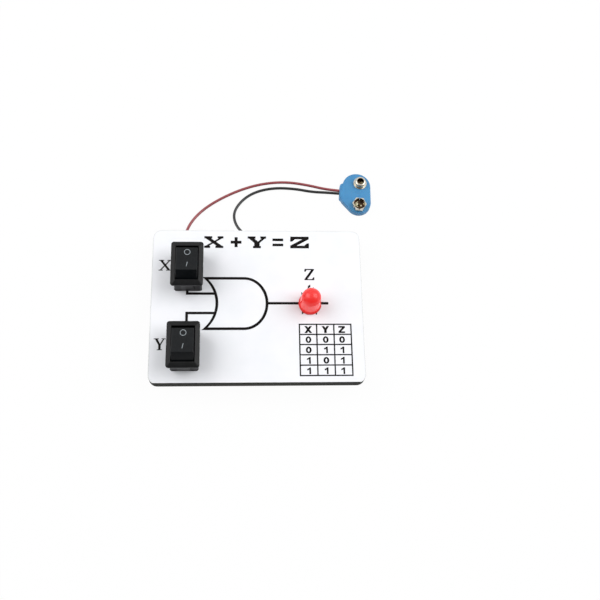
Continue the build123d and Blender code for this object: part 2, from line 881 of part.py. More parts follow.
# Solder on every joint, shaped round what it holds
blade_joints = [
    (x_blade[0], x_blade[1], eye_level),
    (x_blade[0], x_far, eye_level),
    (y_blade[0], y_blade[1], eye_level),
    (y_blade[0], y_far, eye_level),
]
leg_joints = [
    (anode_x, lamp_y, wire_level),
    (cathode_x, lamp_y, wire_level),
    (resistor_left, lamp_y, wire_level),
]
with BuildPart() as solder_joints:
    with Locations(*blade_joints):
        Sphere(blade_joint_radius)
    with Locations(*leg_joints):
        Sphere(leg_joint_radius)
    for held in (*blades, led_anode, led_cathode, resistor_leads):
        add(held.part, mode=Mode.SUBTRACT)
    for held in (feed_jumper, output_jumper, resistor_link, red_lead, black_lead):
        add(held.part, mode=Mode.SUBTRACT)
finish(solder_joints, "solder_joints")

# Battery clip: soft cover, stiff plate, two snaps and their rivets
snap_places = ((0, snap_pitch / 2), (0, -snap_pitch / 2))
snap_rounds = ((clip_far_place, clip_far_radius), (clip_near_place, clip_near_radius))
cover_rounds = (*snap_rounds, (clip_side_place, clip_side_radius))
cavity_height = rivet_head + plate_thickness + 2 * plate_gap


def clip_outline(rounds, inset):
    """A hull round the given circles, drawn in by inset."""
    for place, radius in rounds:
        with Locations(place):
            Circle(radius - inset)
    make_hull()


with BuildPart() as clip_cover:
    with BuildSketch(clip):
        with Locations((nub_end + (nub_reach + nub_root) / 2, nub_shift)):
            RectangleRounded(nub_reach + nub_root, nub_width, nub_corner_radius)
    extrude(amount=nub_height)
    fillet(clip_cover.edges().group_by(Axis.Z)[-1], nub_round)
    with BuildSketch(clip):
        clip_outline(cover_rounds, 0)
    extrude(amount=clip_height)
    fillet(clip_cover.edges().group_by(Axis.Z)[-1], clip_round)
    with BuildSketch(clip.offset(cavity_floor)):
        clip_outline(snap_rounds, plate_inset - plate_gap)
    extrude(amount=cavity_height, mode=Mode.SUBTRACT)
    with BuildSketch(clip.offset(clip_height)):
        with Locations(*snap_places):
            Circle(rivet_radius + rivet_gap)
    extrude(amount=cavity_floor - clip_height, mode=Mode.SUBTRACT)
    # blind holes for the two leads in the end of the nub
    nub_face = Plane(
        origin=clip.from_local_coords((nub_end, nub_shift, lead_entry_height)),
        x_dir=clip.y_dir,
        z_dir=clip.x_dir,
    )
    with BuildSketch(nub_face):
        with GridLocations(lead_entry_pitch, 0, 2, 1):
            Circle(lead_diameter / 2 + lead_entry_gap)
    extrude(amount=lead_entry_depth, mode=Mode.SUBTRACT)
finish(clip_cover, "clip_cover")

plate_level = cavity_floor + rivet_head + plate_gap
with BuildPart() as clip_base_plate:
    with BuildSketch(clip.offset(plate_level)):
        clip_outline(snap_rounds, plate_inset)
        with Locations(*snap_places):
            Circle(rivet_radius + rivet_gap, mode=Mode.SUBTRACT)
    extrude(amount=plate_thickness)
finish(clip_base_plate, "clip_base_plate")

roll_level = clip_height + snap_floor
with BuildPart() as snap_rivets:
    with BuildSketch(clip.offset(cavity_floor)):
        with Locations(*snap_places):
            Circle(rivet_head_radius)
    extrude(amount=rivet_head)
    with BuildSketch(clip.offset(cavity_floor)):
        with Locations(*snap_places):
            Circle(rivet_radius)
    extrude(amount=roll_level + rivet_roll - cavity_floor)
    with BuildSketch(clip.offset(roll_level)):
        with Locations(*snap_places):
            Circle(rivet_roll_radius)
    extrude(amount=rivet_roll)
    with BuildSketch(clip.offset(roll_level + rivet_roll)):
        with Locations(*snap_places):
            Circle(rivet_bore_radius)
    extrude(amount=cavity_floor + rivet_head - roll_level - rivet_roll, mode=Mode.SUBTRACT)
finish(snap_rivets, "snap_rivets")

# Hollow round stud with a rolled-in mouth
rivet_hole = rivet_radius + rivet_gap
stud_roll = snap_height - stud_rim
stud_place = clip.from_local_coords((*snap_places[0], clip_height))
stud_side = Plane(origin=stud_place, x_dir=clip.x_dir, z_dir=-clip.y_dir)
with BuildPart() as snap_stud:
    with BuildSketch(stud_side):
        with BuildLine():
            Polyline(
                (rivet_hole, 0),
                (stud_flange_radius, 0),
                (stud_flange_radius, snap_floor),
                (stud_neck_radius, snap_floor),
                (stud_radius, stud_swell),
                (stud_radius, stud_rim),
            )
            TangentArc((stud_radius, stud_rim), (stud_radius - stud_roll, snap_height), tangent=(0, 1))
            Polyline(
                (stud_radius - stud_roll, snap_height),
                (stud_mouth_radius, snap_height),
                (stud_mouth_radius, snap_height - stud_wall),
                (stud_radius - stud_roll, snap_height - stud_wall),
            )
            TangentArc(
                (stud_radius - stud_roll, snap_height - stud_wall),
                (stud_radius - stud_wall, stud_rim),
                tangent=(1, 0),
            )
            Polyline(
                (stud_radius - stud_wall, stud_rim),
                (stud_radius - stud_wall, stud_swell),
                (stud_neck_radius - stud_wall, snap_floor),
                (rivet_hole, snap_floor),
                (rivet_hole, 0),
            )
        make_face()
    revolve(axis=Axis(stud_place, (0, 0, 1)))
finish(snap_stud, "snap_stud")

# Six-sided socket with slits, and a recess for the rivet's roll in its floor
socket_plane = clip.offset(clip_height)
socket_place = snap_places[1]
with BuildPart() as snap_socket:
    with BuildSketch(socket_plane):
        with Locations(socket_place):
            RegularPolygon(socket_corner_radius, 6)
    extrude(amount=snap_height)
    with BuildSketch(socket_plane.offset(socket_floor)):
        with Locations(socket_place):
            Circle(socket_bore_radius)
    extrude(amount=snap_height - socket_floor, mode=Mode.SUBTRACT)
    with BuildSketch(socket_plane.offset(socket_slit_floor)):
        with Locations(socket_place):
            with PolarLocations(0, 3, start_angle=30):
                Rectangle(2 * socket_corner_radius, socket_slit)
    extrude(amount=snap_height - socket_slit_floor, mode=Mode.SUBTRACT)
    with BuildSketch(socket_plane.offset(snap_floor)):
        with Locations(socket_place):
            Circle(rivet_roll_radius + rivet_gap)
    extrude(amount=socket_floor - snap_floor, mode=Mode.SUBTRACT)
    with BuildSketch(socket_plane):
        with Locations(socket_place):
            Circle(rivet_hole)
    extrude(amount=snap_floor, mode=Mode.SUBTRACT)
finish(snap_socket, "snap_socket")

print("cutout", round(cutout_width, 2), round(cutout_length, 2), "seat", round(seat_height, 2))
print("lamp legs", round(anode_x, 2), round(cathode_x, 2), "eye level", round(eye_level, 2))
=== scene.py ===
import json
from math import cos, pi, radians, sin
import bpy
from mathutils import Matrix, Vector


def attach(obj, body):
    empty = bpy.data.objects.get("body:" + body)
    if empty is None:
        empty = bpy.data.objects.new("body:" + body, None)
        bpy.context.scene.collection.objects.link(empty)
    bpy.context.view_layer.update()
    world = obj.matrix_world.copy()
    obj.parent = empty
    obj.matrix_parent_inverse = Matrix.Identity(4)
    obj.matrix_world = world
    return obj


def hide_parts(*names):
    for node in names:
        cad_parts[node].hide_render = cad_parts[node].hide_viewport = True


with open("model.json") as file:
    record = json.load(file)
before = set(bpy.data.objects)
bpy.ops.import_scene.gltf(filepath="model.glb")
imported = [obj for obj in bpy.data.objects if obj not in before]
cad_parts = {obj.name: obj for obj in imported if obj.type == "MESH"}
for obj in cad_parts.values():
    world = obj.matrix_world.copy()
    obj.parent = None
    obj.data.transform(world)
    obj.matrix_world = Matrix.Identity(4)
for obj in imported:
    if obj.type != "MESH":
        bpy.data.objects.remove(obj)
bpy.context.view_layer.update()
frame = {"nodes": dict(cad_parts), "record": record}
nodes = frame["nodes"]
slotOf = {part["node"]: part["material_slot"] for part in frame["record"]["subparts"]}
print("frame loaded:", len(nodes), "nodes")

# where the photograph was taken from, looking down at the printed face
cameraView = {
    "target": (0.020158, 0.002292, 0.0142),
    "azimuth": -11.67,
    "elevation": 70.73,
    "roll": 11.06,
    "distance": 0.38416,
    "lens": 48.56,
    "sensor": 36,
    "nearest": 0.01,
}


def setCamera(view):
    az, el, roll = (radians(view[k]) for k in ("azimuth", "elevation", "roll"))
    back = Vector((sin(az) * cos(el), -cos(az) * cos(el), sin(el)))
    side = Vector((0, 0, 1)).cross(back).normalized()
    up = back.cross(side)
    right = side * cos(roll) + up * sin(roll)
    top = up * cos(roll) - side * sin(roll)
    place = Vector(view["target"]) + back * view["distance"]
    bpy.ops.object.camera_add()
    cam = bpy.context.object
    cam.name = "studioCamera"
    cam.matrix_world = Matrix((
        (right.x, top.x, back.x, place.x),
        (right.y, top.y, back.y, place.y),
        (right.z, top.z, back.z, place.z),
        (0, 0, 0, 1),
    ))
    cam.data.lens = view["lens"]
    cam.data.sensor_width = view["sensor"]
    cam.data.clip_start = view["nearest"]
    bpy.context.scene.camera = cam


setCamera(cameraView)


def pick(piece):
    bpy.ops.object.select_all(action="DESELECT")
    piece.select_set(True)
    bpy.context.view_layer.objects.active = piece


# flying leads of the battery clip: sizes in metres, the points of their routes in millimetres
leads = {
    "diameter": 0.0014,
    "runSteps": 16,
    "roundness": 5,
    "red": {
        "node": "red_battery_lead",
        "length": 0.1099,
        "route": [
            (-32.7, 24.3, 6.0), (-34.2, 31.0, 5.6), (-35.9, 39.2, 3.8), (-33.4, 47.6, 1.6),
            (-27.6, 55.1, 0.7), (-19.0, 61.3, 0.7), (-8.0, 66.9, 0.7), (3.2, 70.4, 0.7),
            (15.2, 71.5, 0.7), (26.6, 69.7, 0.8), (36.24, 66.91, 1.4), (44.26, 66.21, 1.4),
        ],
    },
    "black": {
        "node": "black_battery_lead",
        "length": 0.1274,
        "route": [
            (25.55, 1.05, 6.4), (21.2, 6.9, 6.4), (13.6, 17.0, 6.2), (4.2, 27.8, 5.4),
            (-1.2, 37.1, 4.0), (-9.6, 44.0, 1.8), (-12.3, 53.0, 0.7), (-7.7, 60.8, 0.7),
            (-0.6, 65.7, 0.7), (9.0, 68.0, 0.7), (19.6, 67.6, 0.7), (28.6, 65.8, 0.8),
            (37.30, 65.21, 1.4), (44.12, 64.61, 1.4),
        ],
    },
}


def layCord(name, route, diameter):
    curve = bpy.data.curves.new(name, "CURVE")
    curve.dimensions = "3D"
    spline = curve.splines.new("NURBS")
    spline.points.add(len(route) - 1)
    for point, place in zip(spline.points, route):
        point.co = (*(v / 1000 for v in place), 1)
        point.radius = diameter / 2  # the curve's box grows by this, so it holds the tube
    spline.order_u = 3
    spline.use_endpoint_u = True
    spline.resolution_u = leads["runSteps"]
    curve.bevel_depth = 1  # times each point's radius
    curve.bevel_resolution = leads["roundness"]
    curve.use_fill_caps = True
    cord = bpy.data.objects.new(name, curve)
    bpy.context.scene.collection.objects.link(cord)
    return cord


leadPieces = {}
for tint in ("red", "black"):
    lead = layCord(f"{tint}Lead", leads[tint]["route"], leads["diameter"])
    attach(lead, "base")
    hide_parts(leads[tint]["node"])
    leadPieces[tint] = lead
print("leads laid")

# letters and digits drawn for this object, each measured in its own cap heights
ink = {"thickness": 0.00006, "faceTop": 0.0142}


def crossing(p, q, r, s):
    (x1, y1), (x2, y2), (x3, y3), (x4, y4) = p, q, r, s
    d = (x1 - x2) * (y3 - y4) - (y1 - y2) * (x3 - x4)
    a, b = x1 * y2 - y1 * x2, x3 * y4 - y3 * x4
    return ((a * (x3 - x4) - (x1 - x2) * b) / d, (a * (y3 - y4) - (y1 - y2) * b) / d)


def letterX(w, thick, thin, bar, foot):
    hi, lo = 1 - bar, bar
    a = ((foot, hi), (w - foot - thick, lo))
    b = ((foot + thick, hi), (w - foot, lo))
    c = ((w - foot - thin, hi), (foot, lo))
    d = ((w - foot, hi), (foot + thin, lo))
    return [[
        (0, 1), (2 * foot + thick, 1), (2 * foot + thick, hi), b[0], crossing(*b, *c), c[0],
        (w - 2 * foot - thin, hi), (w - 2 * foot - thin, 1), (w, 1), (w, hi), d[0],
        crossing(*b, *d), b[1], (w, lo), (w, 0), (w - 2 * foot - thick, 0),
        (w - 2 * foot - thick, lo), a[1], crossing(*a, *d), d[1], (2 * foot + thin, lo),
        (2 * foot + thin, 0), (0, 0), (0, lo), c[1], crossing(*a, *c), a[0], (0, hi),
    ]]


def letterY(w, thick, thin, bar, foot, fork=0.44):
    hi, lo = 1 - bar, bar
    left, right = (w - thick) / 2, (w + thick) / 2
    slantLeft, slantRight = left - foot, right - (w - foot)
    b = ((foot + thick, hi), (foot + thick + slantLeft, fork))
    c = ((w - foot - thin, hi), (w - foot - thin + slantRight, fork))
    return [[
        (0, 1), (2 * foot + thick, 1), (2 * foot + thick, hi), b[0], crossing(*b, *c), c[0],
        (w - 2 * foot - thin, hi), (w - 2 * foot - thin, 1), (w, 1), (w, hi), (w - foot, hi),
        (right, fork), (right, lo), (right + foot, lo), (right + foot, 0), (left - foot, 0),
        (left - foot, lo), (left, lo), (left, fork), (foot, hi), (0, hi),
    ]]


def letterZ(w, thick, bar, tick, drop, inset=0.02):
    hi, lo = 1 - bar, bar
    if not tick:
        return [[
            (0, 1), (w, 1), (w, hi), (thick, lo), (w, lo), (w, 0), (0, 0), (0, lo),
            (w - thick, hi), (0, hi),
        ]]
    serif = 2.2 * tick
    return [[
        (inset, 1), (w - inset, 1), (w - inset, hi), (thick, lo), (w - serif, lo),
        (w - tick, drop), (w, drop), (w - inset, 0), (0, 0), (0, lo), (w - inset - thick, hi),
        (serif, hi), (tick, 1 - drop), (0, 1 - drop),
    ]]


def plusSign(w, stroke):
    m, h = 0.5, stroke / 2
    return [[
        (0, m - h), (w / 2 - h, m - h), (w / 2 - h, m - w / 2), (w / 2 + h, m - w / 2),
        (w / 2 + h, m - h), (w, m - h), (w, m + h), (w / 2 + h, m + h),
        (w / 2 + h, m + w / 2), (w / 2 - h, m + w / 2), (w / 2 - h, m + h), (0, m + h),
    ]]


def equalsSign(w, stroke, gap):
    return [
        [(0, y), (w, y), (w, y + stroke), (0, y + stroke)]
        for y in (0.5 - gap / 2 - stroke, 0.5 + gap / 2)
    ]


def oval(w, h, cx=0.0, cy=0.0, steps=40):
    turns = [2 * pi * i / steps for i in range(steps)]
    return [(cx + w / 2 * cos(t), cy + h / 2 * sin(t)) for t in turns]


def digitZero(w, stroke):
    endStrokes = 1.7 * stroke  # top and bottom together, thinner than the sides
    return [oval(w, 1, w / 2, 0.5), oval(w - 2 * stroke, 1 - endStrokes, w / 2, 0.5)]


def digitOne(stroke, stem=0.32):
    return [[
        (stem, 0), (stem + stroke, 0), (stem + stroke, 1), (0.38, 1), (0.25, 0.88),
        (0.02, 0.77), (0.02, 0.56), (0.18, 0.61), (stem, 0.71),
    ]]


# each glyph is its outlines, then its cap height and lower left corner in metres
def printGlyphs(name, glyphs, lift, thickness):
    curve = bpy.data.curves.new(name, "CURVE")
    curve.dimensions = "2D"
    curve.fill_mode = "BOTH"
    curve.extrude = thickness / 2
    for outlines, cap, x, y in glyphs:
        for outline in outlines:
            corners = [c for c, after in zip(outline, outline[1:] + outline[:1]) if c != after]
            spline = curve.splines.new("POLY")
            spline.points.add(len(corners) - 1)
            for point, (px, py) in zip(spline.points, corners):
                point.co = (x + px * cap, y + py * cap, 0, 1)
            spline.use_cyclic_u = True
    piece = bpy.data.objects.new(name, curve)
    bpy.context.scene.collection.objects.link(piece)
    pick(piece)
    bpy.ops.object.convert(target="MESH")
    piece = bpy.context.object
    piece.data.transform(lift)
    return piece


faceLift = Matrix.Translation((0, 0, ink["faceTop"] + ink["thickness"] / 2))
titleRow = {"cap": 0.0061, "baseline": 0.0288, "letters": (
    (letterX(1.5, 0.42, 0.26, 0.18, 0.10), -0.0255),
    (plusSign(0.85, 0.24), -0.0128),
    (letterY(1.46, 0.42, 0.26, 0.18, 0.10), -0.0046),
    (equalsSign(0.85, 0.22, 0.22), 0.0074),
    (letterZ(1.5, 0.5, 0.22, 0.17, 0.42), 0.0160),
)}
title = printGlyphs(
    "titleRow", [(g, titleRow["cap"], x, titleRow["baseline"]) for g, x in titleRow["letters"]],
    faceLift, ink["thickness"],
)
gateNames = printGlyphs("gateNames", [
    (letterX(1.12, 0.23, 0.13, 0.07, 0.12), 0.0054, -0.0469, 0.01707),
    (letterY(0.974, 0.2, 0.11, 0.06, 0.11), 0.0056, -0.0479, -0.0221),
    (letterZ(0.83, 0.24, 0.09, 0.09, 0.25), 0.00572, 0.02256, 0.01235),
], faceLift, ink["thickness"])

# heads and figures are glyphs with their widths, each centred in its cell
truthTable = {
    "columns": (0.0237, 0.0318, 0.0395), "headRow": -0.01237, "topRow": -0.01232,
    "rowStep": 0.00498, "headCap": 0.0034, "figureCap": 0.0032,
    "heads": (
        (letterX(1.06, 0.35, 0.35, 0, 0), 1.06),
        (letterY(1.04, 0.34, 0.34, 0, 0), 1.04),
        (letterZ(0.9, 0.38, 0.23, 0, 0), 0.9),
    ),
    "rows": ("000", "011", "101", "111"),
    "figures": {"0": (digitZero(0.83, 0.27), 0.83), "1": (digitOne(0.24), 0.6)},
}


def centreGlyph(glyph, width, cap, x, y):
    return (glyph, cap, x - width * cap / 2, y - cap / 2)


tableGlyphs = [
    centreGlyph(*head, truthTable["headCap"], x, truthTable["headRow"])
    for head, x in zip(truthTable["heads"], truthTable["columns"])
]
for row, figures in enumerate(truthTable["rows"], 1):
    y = truthTable["topRow"] - row * truthTable["rowStep"]
    for figure, x in zip(figures, truthTable["columns"]):
        glyph = truthTable["figures"][figure]
        tableGlyphs.append(centreGlyph(*glyph, truthTable["figureCap"], x, y))
tableFigures = printGlyphs(
    "tableFigures", tableGlyphs, faceLift, ink["thickness"],
)
printed = (title, gateNames, tableFigures)
for piece in printed:
    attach(piece, "base")

# pale marks on the rockers, on the two slopes of each dished top
marks = {
    "centres": {"x": (-0.0327, 0.0164), "y": (-0.0336, -0.0224)},
    "pivotHeight": 0.0242, "restTilt": -11.0, "slope": 9.0, "dishHeight": 0.00405,
    "ringPlace": (0.0002, 0.0038), "ringWide": 0.0029, "ringStroke": 0.0003, "ringSteps": 48,
    "barPlace": (0.0002, -0.0028), "barSize": (0.0003, 0.0027), "barLean": 0.0004,
    "thickness": 0.00003,
}
bore = 1 - 2 * marks["ringStroke"] / marks["ringWide"]
ring = [oval(1, 1, steps=marks["ringSteps"]), oval(bore, bore, steps=marks["ringSteps"])]
bw, bh = (size / 2 for size in marks["barSize"])
lean = marks["barLean"] / 2
bar = [[(-bw - lean, -bh), (bw - lean, -bh), (bw + lean, bh), (lean - bw, bh)]]
markPieces = []
for way, (cx, cy) in marks["centres"].items():
    tilted = (
        Matrix.Translation((cx, cy, marks["pivotHeight"]))
        @ Matrix.Rotation(radians(marks["restTilt"]), 4, "X")
        @ Matrix.Translation((0, 0, marks["dishHeight"] + marks["thickness"] / 2))
    )
    for name, glyph, cap, place, tip in (
        ("RingMark", ring, marks["ringWide"], marks["ringPlace"], marks["slope"]),
        ("BarMark", bar, 1, marks["barPlace"], -marks["slope"]),
    ):
        mark = printGlyphs(
            way + name, [(glyph, cap, *place)], tilted @ Matrix.Rotation(radians(tip), 4, "X"),
            marks["thickness"],
        )
        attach(mark, f"{way}_rocker")
        markPieces.append(mark)
print("lettering done")


# a CAD node's mesh as a new piece, without the normals that came with it
def copyNode(node, name):
    piece = bpy.data.objects.new(name, nodes[node].data.copy())
    bpy.context.scene.collection.objects.link(piece)
    pick(piece)
    bpy.ops.mesh.customdata_custom_splitnormals_clear()
    return piece


# lengths in metres and angles in degrees; each edge is its new name, width and rounding steps
softening = {
    "merge": 0.000002, "flatWithin": 0.5, "sharpOver": 30, "smoothWithin": 40,
    "edges": {
        "base_board": ("boardCore", 0.00008, 2),
        "rubber_feet": ("rubberFeet", 0.0004, 3),
        "x_switch_housing": ("xSwitchHousing", 0.00014, 2),
        "y_switch_housing": ("ySwitchHousing", 0.00014, 2),
        "x_switch_rocker": ("xSwitchRocker", 0.00012, 2),
        "y_switch_rocker": ("ySwitchRocker", 0.00012, 2),
    },
}
solderFlow = {"voxel": 0.00012, "rounds": 6}


# hard edges broken, as moulding or sanding leaves them
def breakEdges(node, name, width, steps):
    piece = copyNode(node, name)
    bpy.ops.object.mode_set(mode="EDIT")
    bpy.ops.mesh.select_all(action="SELECT")
    bpy.ops.mesh.remove_doubles(threshold=softening["merge"])
    bpy.ops.mesh.dissolve_limited(angle_limit=radians(softening["flatWithin"]))
    bpy.ops.object.mode_set(mode="OBJECT")
    bevel = piece.modifiers.new("brokenEdges", "BEVEL")
    bevel.width = width
    bevel.segments = steps
    bevel.limit_method = "ANGLE"
    bevel.angle_limit = radians(softening["sharpOver"])
    bevel.use_clamp_overlap = True
    bpy.ops.object.modifier_apply(modifier="brokenEdges")
    bpy.ops.object.shade_smooth_by_angle(angle=radians(softening["smoothWithin"]))
    even = piece.modifiers.new("evenShade", "WEIGHTED_NORMAL")
    even.keep_sharp = True  # flat walls stay flat beside their rounded edges
    bpy.ops.object.modifier_apply(modifier="evenShade")
    bodies = frame["record"]["behaviour"]["bodies"]
    body = next(b for b, members in bodies.items() if node in members)
    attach(piece, body)
    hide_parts(node)
    return piece


# the joints' plain rounds drawn together into solder that has flowed and set
def flowSolder(node, name, voxel, rounds):
    piece = copyNode(node, name)
    remesh = piece.modifiers.new("oneSkin", "REMESH")
    remesh.mode = "VOXEL"
    remesh.voxel_size = voxel
    settle = piece.modifiers.new("settled", "SMOOTH")
    settle.iterations = rounds
    for modifier in ("oneSkin", "settled"):
        bpy.ops.object.modifier_apply(modifier=modifier)
    bpy.ops.object.shade_smooth()
    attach(piece, "base")
    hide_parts(node)
    return piece


softened = {node: breakEdges(node, *how) for node, how in softening["edges"].items()}
softened["solder_joints"] = flowSolder("solder_joints", "setSolder", **solderFlow)
print("edges broken on", len(softened), "pieces")


# small helpers for node trees: each takes values or other nodes' outputs
def addNode(tree, kind, **values):
    node = tree.nodes.new(f"ShaderNode{kind}")
    for key, value in values.items():
        setattr(node, key, value)
    return node


def feed(tree, inlet, source):
    if isinstance(source, bpy.types.NodeSocket):
        tree.links.new(source, inlet)
    else:
        inlet.default_value = source


def objectPlace(tree):
    return addNode(tree, "TexCoord").outputs["Object"]


def splitAxes(tree, vector):
    node = addNode(tree, "SeparateXYZ")
    tree.links.new(vector, node.inputs["Vector"])
    return node.outputs


def calc(tree, operation, *sources):
    node = addNode(tree, "Math", operation=operation)
    for inlet, source in zip(node.inputs, sources):
        feed(tree, inlet, source)
    return node.outputs["Value"]


def rescale(tree, value, ends):
    node = addNode(tree, "MapRange")
    tree.links.new(value, node.inputs["Value"])
    for end, source in ends.items():
        feed(tree, node.inputs[end], source)
    return node.outputs["Result"]


def noise(tree, place, scale, detail):
    node = addNode(tree, "TexNoise")
    tree.links.new(place, node.inputs["Vector"])
    feed(tree, node.inputs["Scale"], scale)
    node.inputs["Detail"].default_value = detail
    return node.outputs["Fac"]


def rampColors(tree, share, stops, interpolation="LINEAR"):
    ramp = addNode(tree, "ValToRGB")
    ramp.color_ramp.interpolation = interpolation
    made = ramp.color_ramp.elements
    made[0].position, made[0].color = stops[0]
    made[1].position, made[1].color = stops[-1]
    for place, color in stops[1:-1]:
        made.new(place).color = color
    tree.links.new(share, ramp.inputs["Fac"])
    return ramp.outputs["Color"]


# a Mix node has a set of sockets for each kind of value, and these are the colours' own
colorSockets = {"share": 0, "first": 6, "second": 7, "mixed": 2}


def mixColors(tree, share, first, second, blend="MIX"):
    mix = addNode(tree, "Mix", data_type="RGBA", blend_type=blend)
    for key, source in (("share", share), ("first", first), ("second", second)):
        feed(tree, mix.inputs[colorSockets[key]], source)
    return mix.outputs[colorSockets["mixed"]]


def mixShaders(tree, share, first, second):
    mix = addNode(tree, "MixShader")
    for inlet, source in zip(mix.inputs, (share, first, second)):
        tree.links.new(source, inlet)
    return mix.outputs["Shader"]


# a colour as a screen shows it, from 0 to 255, made linear
def shade(r, g, b):
    return tuple(
        ((v / 255 + 0.055) / 1.055) ** 2.4 if v > 10 else v / 255 / 12.92 for v in (r, g, b)
    ) + (1,)


# shared effects, each a group placed in the finishes below with its own values
def newGroup(name, colors, numbers, results):
    tree = bpy.data.node_groups.new(name, "ShaderNodeTree")
    for kind, values in (("Color", colors), ("Float", numbers)):
        for key, value in values.items():
            made = tree.interface.new_socket(
                name=key, in_out="INPUT", socket_type=f"NodeSocket{kind}",
            )
            made.default_value = value
    for key, kind in results.items():
        tree.interface.new_socket(name=key, in_out="OUTPUT", socket_type=f"NodeSocket{kind}")
    into = tree.nodes.new("NodeGroupInput")
    out = tree.nodes.new("NodeGroupOutput")
    return tree, into.outputs, out.inputs


# patches of a second colour, with fine grain in gloss and height
def makeGrain(spotDetail=5, spotFrom=0.35, spotTo=0.65, grainDetail=3):
    tree, into, out = newGroup(
        "fineGrain",
        {"mainColor": (0.5, 0.5, 0.5, 1), "spotColor": (0.4, 0.4, 0.4, 1)},
        {
            "spotScale": 400.0, "grainScale": 2500.0, "roughLow": 0.4, "roughHigh": 0.6,
            "bumpStrength": 0.2, "bumpDepth": 0.00005,
        },
        {"color": "Color", "roughness": "Float", "normal": "Vector"},
    )
    place = objectPlace(tree)
    spots = noise(tree, place, into["spotScale"], spotDetail)
    share = rescale(tree, spots, {"From Min": spotFrom, "From Max": spotTo})
    mixed = mixColors(tree, share, into["mainColor"], into["spotColor"])
    grain = noise(tree, place, into["grainScale"], grainDetail)
    rough = rescale(tree, grain, {"To Min": into["roughLow"], "To Max": into["roughHigh"]})
    bump = addNode(tree, "Bump")
    tree.links.new(into["bumpStrength"], bump.inputs["Strength"])
    tree.links.new(into["bumpDepth"], bump.inputs["Distance"])
    tree.links.new(grain, bump.inputs["Height"])
    tree.links.new(mixed, out["color"])
    tree.links.new(rough, out["roughness"])
    tree.links.new(bump.outputs["Normal"], out["normal"])
    return tree


# fine dust that settles where a surface looks up
def makeDust(levelFrom=0.4, fleckScale=900, fleckDetail=6, fleckFrom=0.42, fleckTo=0.75):
    tree, into, out = newGroup(
        "settledDust",
        {"color": (0.5, 0.5, 0.5, 1), "dustColor": (0.6, 0.6, 0.58, 1)},
        {"amount": 0.1}, {"dusted": "Color"},
    )
    facing = splitAxes(tree, addNode(tree, "NewGeometry").outputs["Normal"])
    upward = rescale(tree, facing["Z"], {"From Min": levelFrom})
    flecks = noise(tree, objectPlace(tree), fleckScale, fleckDetail)
    patchy = rescale(tree, flecks, {"From Min": fleckFrom, "From Max": fleckTo})
    both = calc(tree, "MULTIPLY", upward, patchy)
    share = calc(tree, "MULTIPLY", both, into["amount"])
    tree.links.new(mixColors(tree, share, into["color"], into["dustColor"]), out["dusted"])
    return tree


# how near a point is to the printed sheet's rounded outline, 1 at the edge itself, to place
# painted shade along the edge
def makeEdgeShade():
    tree, into, out = newGroup(
        "sheetEdgeShade", {},
        {"halfWidth": 0.04995, "halfDepth": 0.03795, "corner": 0.004, "band": 0.0005},
        {"mask": "Float"},
    )
    place = splitAxes(tree, objectPlace(tree))
    both = addNode(tree, "CombineXYZ")
    for axis, half in (("X", "halfWidth"), ("Y", "halfDepth")):
        away = calc(tree, "ABSOLUTE", place[axis])
        inner = calc(tree, "SUBTRACT", into[half], into["corner"])
        past = calc(tree, "SUBTRACT", away, inner)
        tree.links.new(calc(tree, "MAXIMUM", past, 0), both.inputs[axis])
    reach = addNode(tree, "VectorMath", operation="LENGTH")
    tree.links.new(both.outputs["Vector"], reach.inputs[0])
    start = calc(tree, "SUBTRACT", into["corner"], into["band"])
    ends = {"From Min": start, "From Max": into["corner"]}
    tree.links.new(rescale(tree, reach.outputs["Value"], ends), out["mask"])
    return tree


# mottled tarnish, painted shade and painted reflections down inside one snap
cupShadeReflectionAndTarnish = {"scale": 620, "detail": 2, "tones": (
    (0.36, shade(44, 38, 32)), (0.46, shade(96, 66, 48)), (0.52, shade(60, 54, 44)),
    (0.6, shade(196, 188, 150)), (0.72, shade(252, 250, 244)),
)}


def makeHollow():
    tree, into, out = newGroup(
        "snapHollow", {"color": (0.7, 0.7, 0.7, 1)},
        {"centreX": 0.0, "centreY": 0.0, "radius": 0.002, "lip": 0.006},
        {"shadedAndTarnished": "Color"},
    )
    place = objectPlace(tree)
    at = splitAxes(tree, place)
    flat = addNode(tree, "CombineXYZ")
    middle = addNode(tree, "CombineXYZ")
    for axis in "XY":
        tree.links.new(at[axis], flat.inputs[axis])
        tree.links.new(into["centre" + axis], middle.inputs[axis])
    away = addNode(tree, "VectorMath", operation="DISTANCE")
    tree.links.new(flat.outputs["Vector"], away.inputs[0])
    tree.links.new(middle.outputs["Vector"], away.inputs[1])
    within = calc(tree, "LESS_THAN", away.outputs["Value"], into["radius"])
    below = calc(tree, "LESS_THAN", at["Z"], into["lip"])
    inside = calc(tree, "MULTIPLY", within, below)
    patches = noise(tree, place, cupShadeReflectionAndTarnish["scale"], cupShadeReflectionAndTarnish["detail"])
    # dark tones are painted shade and pale ones painted reflections, with tarnish mottled among
    # them
    shadeReflectionAndTarnish = rampColors(tree, patches, cupShadeReflectionAndTarnish["tones"])
    tree.links.new(mixColors(tree, inside, into["color"], shadeReflectionAndTarnish), out["shadedAndTarnished"])
    return tree


grainGroup = makeGrain()
dustGroup = makeDust()
edgeShadeGroup = makeEdgeShade()
hollowGroup = makeHollow()


def useGroup(tree, group, **values):
    node = addNode(tree, "Group", node_tree=group)
    for key, value in values.items():
        feed(tree, node.inputs[key], value)
    return node.outputs


def newMaterial(name, plain):
    material = bpy.data.materials.new(name)
    material.use_nodes = True
    tree = material.node_tree
    skin = tree.nodes["Principled BSDF"]
    for key, value in plain.items():
        skin.inputs[key].default_value = value
    return material, tree, skin


def coverSkin(tree, skin, surface, color):
    tree.links.new(color, skin.inputs["Base Color"])
    tree.links.new(surface["roughness"], skin.inputs["Roughness"])
    tree.links.new(surface["normal"], skin.inputs["Normal"])


